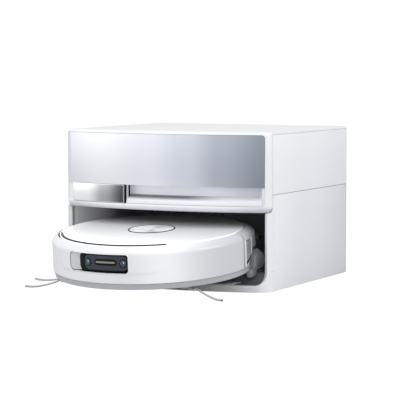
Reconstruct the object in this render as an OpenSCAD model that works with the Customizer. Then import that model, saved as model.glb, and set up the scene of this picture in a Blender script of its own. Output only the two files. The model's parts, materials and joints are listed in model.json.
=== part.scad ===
// Robot vacuum parked nose-out in its low docking station.
// Origin: middle of the station's footprint, on the floor. -Y is the front, +X the right-hand side.

/* [Docking station] */
// Width of the station
dock_w = 410; // [400:1:440]
// Depth of the station from the middle of its curved front to its back
dock_d = 406; // [400:1:430]
// Height of the station
dock_h = 278; // [276:1:290]
// Radius of the curved front in plan
front_r = 665; // [600:5:900]
// Radius of the two front corners in plan
front_corner_r = 28; // [24:1:32]
// Radius of the two back corners in plan
back_corner_r = 24; // [18:1:30]
// Wall thickness of the lower shells
shell_t = 8; // [6:1:9]
// Height of the seam between the lower shells and the upper housing
seam_z = 169; // [164:1:176]
// Height of the garage ceiling
ceiling_z = 138.5; // [136:0.5:144]
// Height of the floor lip at the garage mouth
lip_z = 12; // [10:1:14]
// Radius of the rounded lower corners of the garage mouth
mouth_r = 24; // [16:1:28]
// Height of the level part of the garage floor
floor_z = 27; // [24:1:28]

/* [Drawer] */
// Depth of the side return of the drawer's front block
block_return = 48; // [44:1:52]
// Half width of the inset front panel
panel_half_w = 184; // [170:1:184]
// Height of the panel's lower edge
panel_z0 = 182; // [180:1:186]
// Height of the panel's upper edge
panel_z1 = 273; // [262:1:274]
// Thickness of the front panel
panel_t = 3; // [2:0.5:4]
// Width of the front key
key_w = 117; // [80:1:117]
// Height of the front key
key_h = 33; // [26:1:33]
// Depth of the finger recess
recess_d = 22; // [16:1:26]

/* [Robot] */
// Radius of the robot's body
robot_r = 175; // [172:1:176]
// Height of the lid's top above the skirt's lower edge
lid_z = 74; // [73:0.5:76]
// Radius of the lid
lid_r = 161; // [158:0.5:161]
// Height of the grey skirt band
skirt_h = 10; // [8:0.5:10]
// Radius of the button plate in the lid
button_r = 39.5; // [36:0.5:44]
// Angle at which the robot stands on the ramp
robot_tilt = 4.95; // [3:0.05:5]
// Distance of the robot's centre in front of the origin
robot_y = 211; // [211:1:230]
// Height of the skirt's lower edge at the robot's centre
robot_z = 33.4; // [33:0.1:36]
// Radius of the drive wheels
wheel_r = 35; // [33:0.5:35]
// Reach of a side brush arm from its spindle
brush_reach = 94; // [70:1:96]
// Radius of the mop roller
mop_r = 17; // [15:0.5:17]

/* [Hidden] */

$fn = 96;
white = [0.93, 0.94, 0.96];
dark = [0.13, 0.14, 0.16];
grey = [0.66, 0.68, 0.71];
steel = [0.72, 0.74, 0.78];
big = 600;

// Plan of the station: front arc, two front corner arcs tangent inside it, straight sides and back.
half_w = dock_w / 2;
front_y = -dock_d / 2;
back_y = dock_d / 2;
arc_y = front_y + front_r;
corner_x = half_w - front_corner_r;
corner_y = arc_y - sqrt(pow(front_r - front_corner_r, 2) - pow(corner_x, 2));
corner = [corner_x, corner_y];
corner_out = (corner - [0, arc_y]) / (front_r - front_corner_r) * 60;
block_y = front_y + block_return;
ramp_y = corner_y + 4;
corner_step = 0.02;
inner_half_w = half_w - shell_t;
fit_gap = 0.5;

// Drawer and its load.
deck_t = 8;
deck_top = ceiling_z + deck_t;
drawer_half_w = 190;
drawer_z = deck_top + 2.5;
drawer_back = 62;
tank_z0 = drawer_z + 4;
tank_z1 = 250;
tank_wall = 3;
cap_r = 22;
liner_y = 164;
duct = [-150, 181];
duct_r = 9.5;
bag_h = 108;
bag_wall = 3;
inlet_x = 150;
inlet_z = 44;
foot_r = 12;
foot_h = 2;
grip_half_w = 140;
grip_h = 2.5;

// Front block details, measured from the station's centre line.
key_x0 = -panel_half_w + 0.5;
recess_x0 = key_x0 + key_w + 8;
recess_x1 = panel_half_w;
recess_z0 = 150;
recess_lip_z = 165;
cover_t = 4;

// Robot details in its own level frame: origin at the middle of the skirt's lower edge.
shell_z0 = skirt_h + 0.5;
edge_r = 10;
skin_t = 3;
shell_top = lid_z - 1;
bumper_half = 92;
bumper_gap = 3.5;
bumper_end = bumper_half + bumper_gap / robot_r * 180 / PI;
shoulder = [118, 70, 46];
chassis_r = 160;
plate_z = 2;
plate_t = 4;
core_wall_r = 153;
wheel_x = 118;
wheel_y = 30;
wheel_z = 13.9;
wheel_w = 22;
arm_pivot = [-25, 20];
arm_x = 100;
arm_t = 8;
pin_r = 4;
run_gap = 0.05;
brush_hub = [106, -88];
stub_reach = 28;
droop = 8;
right_turn = -22;
left_turn = 194;
roller_y = -22;
roller_z = 11;
roller_r = 18.5;
roller_half = 80;
caster_y = -122;
caster_r = 11;
caster_z = 2;
caster_trail = 4;
axle_r = 1.5;
mop_y = 100;
mop_z = 9;
mop_x0 = -60;
mop_x1 = 150;
mop_travel = 15;
cam_a0 = -25;
cam_a1 = 14.5;
cam_z0 = 28.5;
cam_z1 = 60.5;
lens_r = 5.2;
nose = 270;
vent_y0 = 14;
vent_y1 = 46;
vent_z0 = 17;
vent_z1 = 58;
contact_y = 167.5;

// ---- shared shapes -------------------------------------------------------

// Plan outline of the station, set in by t. The corner arcs lie a hair inside the front arc's end.
module plan(t = 0) {
  left_corner = [-corner[0], corner[1]];
  left_out = [-corner_out[0], corner_out[1]];
  intersection() {
    translate([0, arc_y]) circle(r = front_r - t, $fn = 360);
    polygon([corner, corner + corner_out, left_corner + left_out, left_corner]);
  }
  for (s = [0, 1]) mirror([s, 0]) {
    intersection() {
      translate(corner) circle(r = front_corner_r - corner_step - t);
      polygon([corner, corner + corner_out, corner + [60, -60], corner + [60, 0]]);
    }
    translate([half_w - back_corner_r, back_y - back_corner_r]) circle(r = back_corner_r - t);
  }
  translate([-half_w + t, corner_y]) square([dock_w - 2 * t, back_y - back_corner_r - corner_y]);
  translate([-half_w + back_corner_r, 0]) square([dock_w - 2 * back_corner_r, back_y - t]);
}

// Keeps the part of the plan between two depths.
module depth_band(y0, y1) {
  intersection() {
    children();
    translate([-big, y0]) square([2 * big, y1 - y0]);
  }
}

// Rounded rectangle from one corner to the other.
module round_rect(x0, y0, x1, y1, r) {
  translate([x0 + r, y0]) square([x1 - x0 - 2 * r, y1 - y0]);
  translate([x0, y0 + r]) square([x1 - x0, y1 - y0 - 2 * r]);
  for (x = [x0 + r, x1 - r], y = [y0 + r, y1 - r]) translate([x, y]) circle(r = r, $fn = 48);
}

// Box from its low corner to its high corner.
module box(a, b) {
  translate(a) cube(b - a);
}

// A flat shape drawn in X and Z, made solid from depth y0 to depth y1.
module along_y(y0, y1) {
  translate([0, y1, 0]) rotate([90, 0, 0]) linear_extrude(y1 - y0) children();
}

// A flat shape drawn in Y and Z, made solid from x0 to x1.
module along_x(x0, x1) {
  translate([x0, 0, 0]) rotate([90, 0, 90]) linear_extrude(x1 - x0) children();
}

// Places the robot's own frame on the ramp.
module on_ramp() {
  translate([0, -robot_y, robot_z]) rotate([robot_tilt, 0, 0]) children();
}

// Ring sector between two radii, heights and angles from the nose.
module sector(r0, r1, z0, z1, a0, a1) {
  rotate_extrude(angle = a1 - a0, start = nose + a0, $fn = 180)
    translate([r0, z0]) square([r1 - r0, z1 - z0]);
}

// ---- docking station ------------------------------------------------------

module at_feet() {
  for (x = [-170, 170], y = [-120, 170]) translate([x, y, 0]) children();
}

module base_tray() color(white) difference() {
  tray_body();
  translate([0, 0, -1]) at_feet() cylinder(r = foot_r, h = foot_h + 1);
  // weight-saving pockets underneath
  for (s = [-1, 1]) box([s * 85 - 65, -100, -1], [s * 85 + 65, 150, floor_z - 12]);
}

module tray_body() {
  post_y = corner_y - sqrt(pow(front_corner_r, 2) - pow(inner_half_w - corner_x, 2));
  // lip across the mouth
  linear_extrude(lip_z) depth_band(front_y - 1, ramp_y) plan();
  // raised strip that the wheels stand on
  linear_extrude(lip_z + grip_h) intersection() {
    depth_band(front_y, ramp_y - 4) plan(4);
    translate([-grip_half_w, -big]) square([2 * grip_half_w, 2 * big]);
  }
  // the mouth's rounded lower corners, ending in thin steps
  for (s = [0, 1]) mirror([s, 0, 0]) translate([inner_half_w - mouth_r, 0, lip_z]) difference() {
    box([2, post_y, -1], [mouth_r, ramp_y - 1, mouth_r - 2]);
    translate([0, 0, mouth_r]) rotate([90, 0, 0]) cylinder(r = mouth_r, h = dock_d, center = true);
  }
  // floor and ramp between the side shells, narrower between the rear panel's corners
  floor_end = back_y - back_corner_r;
  along_x(-inner_half_w, inner_half_w)
    polygon([[ramp_y, 0], [floor_end, 0], [floor_end, floor_z], [ramp_y + 24, floor_z],
             [ramp_y, lip_z]]);
  box([-half_w + back_corner_r, floor_end, 0], [half_w - back_corner_r, back_y - shell_t, floor_z]);
}

module side_shell() {
  wall_end = back_y - back_corner_r;
  linear_extrude(ceiling_z - fit_gap) intersection() {
    depth_band(ramp_y, wall_end) plan();
    translate([inner_half_w, -big]) square([shell_t, 2 * big]);
  }
  // slim front post on the base's lip
  translate([0, 0, lip_z]) linear_extrude(ceiling_z - fit_gap - lip_z)
    intersection() {
      depth_band(corner_y - front_corner_r, ramp_y) plan();
      translate([inner_half_w, -big]) square([shell_t, 2 * big]);
    }
  translate([0, 0, ceiling_z - fit_gap]) linear_extrude(seam_z - ceiling_z + fit_gap)
    intersection() {
      depth_band(block_y + fit_gap, wall_end) plan();
      translate([inner_half_w, -big]) square([shell_t, 2 * big]);
    }
}

module right_side_shell() color(white) side_shell();
module left_side_shell() color(white) mirror([1, 0, 0]) side_shell();

module rear_panel() color(white) difference() {
  linear_extrude(seam_z) depth_band(back_y - back_corner_r, back_y) difference() {
    plan();
    plan(shell_t);
  }
  box([inlet_x - 14, back_y - 20, inlet_z - 9], [inlet_x + 14, back_y + 1, inlet_z + 9]);
}

module mid_deck() color(dark) translate([0, 0, ceiling_z]) linear_extrude(deck_t) difference() {
  depth_band(block_y + fit_gap, back_y) plan(shell_t);
  translate(duct) circle(r = duct_r);
}

module upper_housing() color(white) {
  wall = 5;
  translate([0, 0, seam_z]) linear_extrude(dock_h - cover_t - seam_z) difference() {
    depth_band(block_y + fit_gap, back_y) plan();
    depth_band(block_y - 1, back_y) plan(wall);
  }
  translate([0, 0, dock_h - cover_t - wall]) linear_extrude(wall)
    depth_band(block_y + fit_gap, back_y) plan(wall);
}

module top_cover() color([0.9, 0.91, 0.93])
  translate([0, 0, dock_h - cover_t]) linear_extrude(cover_t)
    depth_band(block_y + fit_gap, back_y) plan();

module garage_liner() color(dark) {
  rib_pitch = 14;
  clear_x = 48;
  difference() {
    box([-inner_half_w, liner_y, floor_z], [inner_half_w, liner_y + 3, ceiling_z]);
    for (x = [-30, 30]) box([x - 6, liner_y - 1, 58], [x + 6, liner_y + 4, 66]);
  }
  for (x = [clear_x : rib_pitch : 188], s = [-1, 1])
    box([s * x - 1.5, liner_y - 3, floor_z + 6], [s * x + 1.5, liner_y, ceiling_z - 6]);
}

module wash_board() color(grey) {
  board_y = -robot_y + mop_y;
  box([-130, board_y - 22, floor_z], [155, board_y + 22, floor_z + 3]);
  for (x = [-125 : 10 : 150]) box([x, board_y - 20, floor_z + 3], [x + 3, board_y + 20, floor_z + 5]);
}

module dock_feet() color(dark) at_feet() cylinder(r = foot_r, h = foot_h);

module dust_duct() color(dark) translate([duct[0], duct[1], floor_z]) difference() {
  cylinder(r = duct_r + 2.5, h = ceiling_z - floor_z);
  translate([0, 0, -1]) cylinder(r = duct_r, h = ceiling_z - floor_z + 2);
}

// Thin-walled bag with its collar hole over the duct.
module dust_bag() color([0.85, 0.83, 0.78]) translate([0, 0, deck_top]) difference() {
  linear_extrude(bag_h) round_rect(-188, 80, -62, 194, 16);
  translate([0, 0, bag_wall]) linear_extrude(bag_h - 2 * bag_wall)
    round_rect(-188 + bag_wall, 80 + bag_wall, -62 - bag_wall, 194 - bag_wall, 16 - bag_wall);
  translate([duct[0], duct[1], -1]) cylinder(r = duct_r, h = bag_wall + 2);
}

module dust_fan() color(dark) translate([0, 132, deck_top]) {
  cylinder(r = 46, h = 60);
  translate([0, 0, 60]) cylinder(r = 24, h = 22);
}

module water_pump() color(grey) {
  box([70, 90, deck_top], [150, 150, deck_top + 44]);
  translate([110, 120, deck_top + 44]) cylinder(r = 20, h = 36);
}

module control_board() color([0.1, 0.35, 0.2])
  box([-60, liner_y + 12, floor_z + 12], [60, liner_y + 14, ceiling_z - 14]);

module power_inlet() color(dark) difference() {
  box([inlet_x - 14, back_y - 20, inlet_z - 9], [inlet_x + 14, back_y - 1, inlet_z + 9]);
  box([inlet_x - 10, back_y - 14, inlet_z - 5.5], [inlet_x + 10, back_y, inlet_z + 5.5]);
}

module sensor_window() color(dark)
  box([100, block_y + 6, ceiling_z - 4], [124, block_y + 14, ceiling_z]);

module drawer_rails() color(steel)
  for (s = [-1, 1]) mirror([s < 0 ? 1 : 0, 0, 0])
    box([drawer_half_w + 4, corner_y + 2, seam_z + 1], [half_w - 5, drawer_back, seam_z + 11]);

// ---- drawer ---------------------------------------------------------------

// A flat shape drawn in radius and height, swept along the front's arc from x0 to x1.
module along_front(x0, x1) {
  a0 = asin(x0 / front_r);
  a1 = asin(x1 / front_r);
  translate([0, arc_y, 0]) rotate_extrude(angle = a1 - a0, start = nose + a0, $fn = 360) children();
}

// Finger recess along the front's curve: flat ceiling, upright back and a rounded lip below.
module finger_recess() {
  lip_r = recess_lip_z - recess_z0;
  lip_centre = front_r - lip_r - 1;
  along_front(recess_x0, recess_x1)
    difference() {
      translate([front_r - recess_d, recess_z0]) square([recess_d + 2, panel_z0 - recess_z0]);
      translate([lip_centre, recess_z0]) circle(r = lip_r, $fn = 64);
      translate([front_r - recess_d, recess_z0]) square([lip_centre - front_r + recess_d, lip_r]);
    }
}

module drawer_front() color(white) difference() {
  translate([0, 0, ceiling_z]) linear_extrude(dock_h - ceiling_z)
    depth_band(front_y - 1, block_y) plan();
  // seat of the front panel
  along_front(-panel_half_w, panel_half_w)
    translate([front_r - panel_t, panel_z0]) square([panel_t + 2, panel_z1 - panel_z0]);
  finger_recess();
  // seat of the front key
  along_front(key_x0 - 1, key_x0 + key_w + 1)
    translate([front_r - 8, panel_z0 - key_h - 1]) square([10, key_h + 1]);
}

module front_panel() color([0.7, 0.74, 0.8]) along_front(-panel_half_w, panel_half_w)
  translate([front_r - panel_t, panel_z0]) square([panel_t, panel_z1 - panel_z0]);

module front_key() color(steel) along_front(key_x0, key_x0 + key_w)
  translate([front_r - 5.5, panel_z0 - key_h - 0.5]) square([5.5, key_h]);

module drawer_tray() color(white) {
  box([-drawer_half_w, block_y, drawer_z], [drawer_half_w, drawer_back, drawer_z + 4]);
  for (s = [-1, 1]) mirror([s < 0 ? 1 : 0, 0, 0]) {
    box([drawer_half_w - 2, block_y, drawer_z + 4], [drawer_half_w, drawer_back, seam_z + 12]);
    box([drawer_half_w, block_y, seam_z + 3], [drawer_half_w + 3.5, drawer_back, seam_z + 9]);
  }
}

// One water tank with a filler hole in its top, on the right-hand side.
module tank() {
  x0 = 4;
  x1 = drawer_half_w - 4;
  y0 = block_y + 4;
  difference() {
    box([x0, y0, tank_z0], [x1, drawer_back - 4, tank_z1]);
    box([x0 + tank_wall, y0 + tank_wall, tank_z0 + tank_wall],
        [x1 - tank_wall, drawer_back - 4 - tank_wall, tank_z1 - tank_wall]);
    translate([(x0 + x1) / 2, drawer_back - 60, tank_z1 - 10]) cylinder(r = cap_r - 4, h = 20);
  }
}

module clean_tank() color([0.75, 0.85, 0.95]) mirror([1, 0, 0]) tank();
module dirty_tank() color([0.5, 0.52, 0.55]) tank();

module tank_caps() color(dark)
  for (s = [-1, 1])
    translate([s * drawer_half_w / 2, drawer_back - 60, tank_z1]) cylinder(r = cap_r, h = 7);

module tank_handles() color(grey)
  for (s = [-1, 1]) translate([s * drawer_half_w / 2, 0, tank_z1])
    linear_extrude(6) difference() {
      round_rect(-50, block_y + 14, 50, -20, 10);
      round_rect(-40, block_y + 24, 40, -30, 6);
    }

// Two sprung pins through the garage's back wall, on one carrier behind it.
module charge_contacts() color(steel) {
  for (x = [-30, 30]) box([x - 5, liner_y - 9, 59], [x + 5, liner_y + 4, 65]);
  box([-38, liner_y + 4, 57], [38, liner_y + 7, 67]);
}

// ---- robot ----------------------------------------------------------------

// Cross-section of the outer skin: upright side with a quarter-round top edge.
module skin_profile(r, t) {
  edge_z = shell_top - edge_r;
  difference() {
    union() {
      translate([r - edge_r, shell_z0]) square([edge_r, edge_z - shell_z0]);
      intersection() {
        translate([r - edge_r, edge_z]) circle(r = edge_r, $fn = 64);
        translate([r - edge_r, edge_z]) square(edge_r);
      }
    }
    translate([r - edge_r - 1, shell_z0 - 1]) square([edge_r + 1 - t, edge_z - shell_z0 + 1]);
    intersection() {
      translate([r - edge_r, edge_z]) circle(r = edge_r - t, $fn = 64);
      translate([r - edge_r - 1, edge_z]) square(edge_r + 1);
    }
  }
}

module skirt_ring() color(grey) on_ramp() difference() {
  rotate_extrude($fn = 180)
    polygon([[chassis_r, 0], [robot_r - 4, 0], [robot_r - 1, skirt_h], [chassis_r, skirt_h]]);
  box([60, mop_y - 26, -1], [robot_r + 5, mop_y + 26, skirt_h + 1]);
}

module chassis() color(dark) on_ramp() difference() {
  union() {
    translate([0, 0, plate_z]) cylinder(r = chassis_r, h = plate_t, $fn = 180);
    // brush chamber
    box([-roller_half - 5, roller_y - 24, plate_z], [roller_half + 5, roller_y + 24, 33]);
    // bearing blocks of the wheel arms
    for (s = [-1, 1]) box([s * 91 - 4, arm_pivot[0] - 8, plate_z], [s * 91 + 4, arm_pivot[0] + 8, 28]);
  }
  box([-roller_half - 2, roller_y - 21, -1], [roller_half + 2, roller_y + 21, 30.5]);
  for (s = [0, 1]) mirror([s, 0, 0]) {
    box([95.5, arm_pivot[0] - 16, -1], [133.5, wheel_y + 41, 12]);
    translate([85, arm_pivot[0], arm_pivot[1]]) rotate([0, 90, 0])
      cylinder(r = pin_r + run_gap, h = 12);
    translate([brush_hub[0], brush_hub[1], -1]) cylinder(r = pin_r + run_gap, h = 20);
  }
  translate([0, caster_y, -1]) cylinder(r = 18, h = 20);
  box([mop_x0 - mop_travel - 10, mop_y - 25, -1], [chassis_r + 5, mop_y + 25, 20]);
}

// Inner wall behind the bumper that carries the lid.
module core_wall() color(dark) on_ramp()
  sector(core_wall_r - 3, core_wall_r, plate_z + plate_t, lid_z - 7, -bumper_half, bumper_half);

module body_shell() color(white) on_ramp() difference() {
  union() {
    rotate_extrude(angle = 360 - 2 * bumper_end, start = nose + bumper_end, $fn = 180)
      skin_profile(robot_r, skin_t);
    for (s = [-1, 1]) translate([s * shoulder[0], shoulder[1], 0]) {
      translate([0, 0, shell_z0]) cylinder(r = shoulder[2], h = shell_top - edge_r - shell_z0);
      translate([0, 0, shell_top - edge_r])
        cylinder(r1 = shoulder[2], r2 = shoulder[2] - edge_r, h = edge_r);
    }
  }
  // hollow inside
  translate([0, 0, shell_z0 - 1])
    cylinder(r = robot_r - skin_t, h = shell_top - edge_r - shell_z0 + 1, $fn = 180);
  translate([0, 0, shell_z0]) cylinder(r = lid_r + 1.5, h = shell_top, $fn = 180);
  translate([0, 0, shell_top - edge_r - 0.5])
    cylinder(r1 = robot_r - skin_t, r2 = robot_r - edge_r, h = edge_r - skin_t + 0.5, $fn = 180);
  for (s = [-1, 1]) translate([s * shoulder[0], shoulder[1], shell_z0 - 1]) {
    cylinder(r = shoulder[2] - skin_t, h = shell_top - edge_r - shell_z0);
  }
  // mop opening in the right flank, higher towards the back
  box([70, mop_y - 27, 0], [robot_r + 20, mop_y + 30, 38]);
  // vent windows
  for (s = [-1, 1]) box([s * robot_r - 14, vent_y0, vent_z0], [s * robot_r + 12, vent_y1, vent_z1]);
  // charging contact windows at the tail
  for (x = [-30, 30]) box([x - 8, contact_y, 26], [x + 8, robot_r + 1, 34]);
}

module vent_grilles() color(grey) on_ramp()
  for (s = [-1, 1]) mirror([s < 0 ? 1 : 0, 0, 0])
    intersection() {
      rotate_extrude(angle = 24, start = 0, $fn = 180)
        translate([robot_r - skin_t - 2, vent_z0]) square([2, vent_z1 - vent_z0]);
      difference() {
        box([robot_r - 20, vent_y0, vent_z0], [robot_r + 2, vent_y1, vent_z1]);
        for (z = [vent_z0 + 3 : 5 : vent_z1 - 5])
          box([robot_r - 20, vent_y0 + 2, z], [robot_r + 2, vent_y1 - 2, z + 2.5]);
      }
    }

module top_lid() color(white) on_ramp() difference() {
  translate([0, 0, lid_z - 6.5]) cylinder(r = lid_r, h = 6.5, $fn = 180);
  translate([0, 0, lid_z - 4]) cylinder(r = button_r + 2, h = 10);
}

module button_ring() color(dark) on_ramp() translate([0, 0, lid_z - 4]) difference() {
  cylinder(r = button_r + 1.95, h = 4.3);
  translate([0, 0, -1]) cylinder(r = button_r + 0.3, h = 7);
}

module button_plate() color(steel) on_ramp()
  translate([0, 0, lid_z - 3]) cylinder(r = button_r, h = 3.8);

module bumper() color(white) on_ramp() difference() {
  rotate_extrude(angle = 2 * bumper_half, start = nose - bumper_half, $fn = 180)
    skin_profile(robot_r, skin_t);
  along_y(-robot_r - 5, -robot_r + 40)
    round_rect(robot_r * sin(cam_a0), cam_z0, robot_r * sin(cam_a1), cam_z1, 7);
}

module camera_housing() color([0.1, 0.11, 0.13]) on_ramp() difference() {
  sector(robot_r - 14, robot_r - skin_t - run_gap, cam_z0 - 4, cam_z1 + 3, cam_a0 - 4, cam_a1 + 4);
  sector(robot_r - 8, robot_r + 1, cam_z0, cam_z1, cam_a0 + 1, cam_a1 + 1);
}

module camera_lenses() color([0.05, 0.15, 0.25]) on_ramp()
  for (a = [-11.7, 11.3]) rotate([0, 0, a]) translate([0, -robot_r + 8, 45]) rotate([90, 0, 0])
    cylinder(r = lens_r, h = 3);

module light_bar() color([1, 0.97, 0.8]) on_ramp()
  sector(robot_r - 7.9, robot_r - 6.5, 44, 48, -6, 6.3);

module dust_bin() color([0.35, 0.37, 0.4]) on_ramp() difference() {
  box([-75, 10, 8], [75, 76, 60]);
  box([-72, 13, 11], [72, 73, 57]);
  box([-40, 5, 14], [40, 20, 30]);
}

module bin_filter() color(white) on_ramp() box([-60, 78, 42], [60, 84, 62]);

module suction_fan() color(dark) on_ramp() translate([0, -83, 8]) {
  cylinder(r = 18, h = 34);
  cylinder(r = 20, h = 6);
}

module battery() color([0.15, 0.3, 0.55]) on_ramp() box([-70, 88, 43], [70, 132, 64]);

module main_board() color([0.1, 0.35, 0.2]) on_ramp() box([-60, -110, 48], [60, -6, 50]);

module cliff_sensors() color(dark) on_ramp()
  for (a = [-165, -40, 40, 165]) rotate([0, 0, a]) box([-10, -150, 0.5], [10, -142, plate_z]);

module robot_contacts() color(steel) on_ramp()
  for (x = [-30, 30]) box([x - 8, contact_y, 26], [x + 8, contact_y + 2.5, 34]);

module chassis_screws() color(steel) on_ramp()
  for (a = [20, 160, 200, 340]) rotate([0, 0, a]) translate([0, -138, plate_z - 1.6])
    cylinder(r = 3, h = 1.6);

// Suspension arm on the right: bar, stub axle for the wheel and pivot pin for the chassis.
module wheel_arm() on_ramp() {
  axle = [wheel_y, wheel_z];
  span = arm_pivot - axle;
  len = norm(span);
  along_x(arm_x - arm_t / 2, arm_x + arm_t / 2) {
    for (p = [axle, arm_pivot]) translate(p) circle(r = 9, $fn = 48);
    translate(axle) rotate(atan2(span[1], span[0])) translate([0, -7]) square([len, 14]);
  }
  translate([arm_x, axle[0], axle[1]]) rotate([0, 90, 0]) cylinder(r = pin_r, h = 28);
  translate([arm_x - 14, arm_pivot[0], arm_pivot[1]]) rotate([0, 90, 0]) cylinder(r = pin_r, h = 14);
}

module wheel_arm_right() color(grey) wheel_arm();
module wheel_arm_left() color(grey) mirror([1, 0, 0]) wheel_arm();

// Drive wheel on the right, with tread blocks and a running bore.
module drive_wheel() on_ramp() translate([wheel_x - wheel_w / 2, wheel_y, wheel_z])
  rotate([0, 90, 0]) difference() {
    cylinder(r = wheel_r, h = wheel_w);
    translate([0, 0, -1]) cylinder(r = pin_r + run_gap, h = wheel_w + 2);
    for (a = [0 : 15 : 345]) rotate([0, 0, a]) translate([wheel_r - 2, -1.5, -1])
      cube([5, 3, wheel_w + 2]);
    translate([0, 0, wheel_w - 4]) difference() {
      cylinder(r = wheel_r - 9, h = 5);
      translate([0, 0, -1]) cylinder(r = 10, h = 7);
    }
  }

module drive_wheel_right() color(dark) drive_wheel();
module drive_wheel_left() color(dark) mirror([1, 0, 0]) drive_wheel();

module caster_fork() color(grey) on_ramp() translate([0, caster_y, 0]) {
  translate([0, 0, 14.5]) cylinder(r = 16, h = 5);
  for (s = [-1, 1]) difference() {
    box([s * 9 - 2, 0, -2], [s * 9 + 2, 2 * caster_trail, 14.5]);
    translate([s * 9 - 4, caster_trail, caster_z]) rotate([0, 90, 0])
      cylinder(r = axle_r + run_gap, h = 8);
  }
}

module caster_wheel() color(dark) on_ramp()
  translate([0, caster_y + caster_trail, caster_z]) rotate([0, 90, 0]) {
    translate([0, 0, -6.5]) cylinder(r = caster_r, h = 13);
    translate([0, 0, -10.5]) cylinder(r = axle_r, h = 21);
  }

// Side brush: spindle, hub and two short drooping stubs.
module side_brush(turn) {
  translate([0, 0, -6]) cylinder(r = 13, h = 5.5);
  translate([0, 0, -0.5]) cylinder(r = pin_r, h = 12);
  for (a = [0, 180]) rotate([0, droop, turn + a]) box([8, -2.5, -6], [stub_reach, 2.5, -3]);
}

// The flat bristle bundles in the stubs' ends.
module bristles(turn) {
  for (a = [0, 180]) rotate([0, droop, turn + a])
    box([stub_reach, -1.5, -5.6], [brush_reach, 1.5, -3.6]);
}

module at_hub(side) {
  on_ramp() translate([side * brush_hub[0], brush_hub[1], 0]) children();
}

module side_brush_right() color(grey) at_hub(1) side_brush(right_turn);
module side_brush_left() color(grey) at_hub(-1) side_brush(left_turn);
module bristles_right() color(grey) at_hub(1) bristles(right_turn);
module bristles_left() color(grey) at_hub(-1) bristles(left_turn);

module main_brush() color(dark) on_ramp() translate([-roller_half, roller_y, roller_z])
  rotate([0, 90, 0]) {
    cylinder(r = roller_r - 7, h = 2 * roller_half);
    for (a = [0 : 60 : 300]) rotate([0, 0, a]) translate([0, -1.5, 4])
      cube([roller_r, 3, 2 * roller_half - 8]);
  }

// Arched cover that carries the mop roller and slides sideways out of the body.
module mop_carriage() color(grey) on_ramp() difference() {
  along_x(mop_x0 - 8, mop_x1 + 10) intersection() {
    translate([mop_y, mop_z]) circle(r = mop_r + 5.5, $fn = 96);
    translate([mop_y - 30, mop_z - 12]) square([60, 60]);
  }
  along_x(mop_x0 - 1, mop_x1 + 1) {
    translate([mop_y, mop_z]) circle(r = mop_r + 2, $fn = 96);
    translate([mop_y - mop_r - 2, -20]) square([2 * mop_r + 4, 20 + mop_z]);
  }
  translate([mop_x0 - 9, mop_y, mop_z]) rotate([0, 90, 0]) cylinder(r = 3 + run_gap, h = 300);
}

module mop_roller() color([0.75, 0.77, 0.8]) on_ramp() translate([mop_x0, mop_y, mop_z])
  rotate([0, 90, 0]) {
    cylinder(r = mop_r, h = mop_x1 - mop_x0);
    translate([0, 0, -7]) cylinder(r = 3, h = mop_x1 - mop_x0 + 15);
  }

base_tray();
left_side_shell();
right_side_shell();
rear_panel();
mid_deck();
upper_housing();
top_cover();
garage_liner();
wash_board();
dock_feet();
dust_duct();
dust_bag();
dust_fan();
water_pump();
control_board();
power_inlet();
sensor_window();
drawer_rails();
drawer_front();
front_panel();
drawer_tray();
clean_tank();
dirty_tank();
tank_caps();
tank_handles();
front_key();
charge_contacts();
chassis();
core_wall();
skirt_ring();
body_shell();
top_lid();
button_ring();
vent_grilles();
dust_bin();
bin_filter();
suction_fan();
battery();
main_board();
cliff_sensors();
robot_contacts();
chassis_screws();
button_plate();
bumper();
camera_housing();
camera_lenses();
light_bar();
wheel_arm_left();
wheel_arm_right();
drive_wheel_left();
drive_wheel_right();
caster_fork();
caster_wheel();
side_brush_left();
side_brush_right();
bristles_left();
bristles_right();
main_brush();
mop_carriage();
mop_roller();
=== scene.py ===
import bpy
import bmesh
import json
import math
from mathutils import Matrix, Vector


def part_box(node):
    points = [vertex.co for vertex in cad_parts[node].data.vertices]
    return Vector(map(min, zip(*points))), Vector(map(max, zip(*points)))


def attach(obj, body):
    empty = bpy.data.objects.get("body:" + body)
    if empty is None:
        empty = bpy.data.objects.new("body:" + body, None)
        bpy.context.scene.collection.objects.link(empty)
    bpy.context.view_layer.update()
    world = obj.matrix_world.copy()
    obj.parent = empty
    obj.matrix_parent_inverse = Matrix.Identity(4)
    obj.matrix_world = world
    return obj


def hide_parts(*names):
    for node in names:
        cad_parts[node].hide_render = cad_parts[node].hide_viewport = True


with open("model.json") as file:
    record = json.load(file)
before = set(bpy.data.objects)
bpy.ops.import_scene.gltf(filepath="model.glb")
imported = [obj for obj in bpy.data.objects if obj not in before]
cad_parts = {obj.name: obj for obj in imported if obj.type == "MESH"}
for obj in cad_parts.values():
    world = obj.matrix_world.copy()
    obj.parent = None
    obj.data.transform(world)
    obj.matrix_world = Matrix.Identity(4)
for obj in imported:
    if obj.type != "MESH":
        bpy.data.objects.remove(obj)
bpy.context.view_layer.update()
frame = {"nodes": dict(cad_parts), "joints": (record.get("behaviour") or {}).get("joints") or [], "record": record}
scene = bpy.context.scene

# ---------------------------------------------------------------- camera
target = Vector((0.0772, -0.182, 0.1584))
azimuth, elevation, distance = math.radians(26.57), math.radians(4.35), 3.2347
back = Vector((math.sin(azimuth) * math.cos(elevation),
               -math.cos(azimuth) * math.cos(elevation), math.sin(elevation)))
camera_data = bpy.data.cameras.new("camera")
camera_data.lens = 166.2
camera_data.sensor_width = 36.0
camera_data.clip_start, camera_data.clip_end = 0.1, 60.0
camera = bpy.data.objects.new("camera", camera_data)
bpy.context.collection.objects.link(camera)
camera.location = target + back * distance
camera.rotation_euler = (-back).to_track_quat("-Z", "Y").to_euler()
scene.camera = camera

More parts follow.
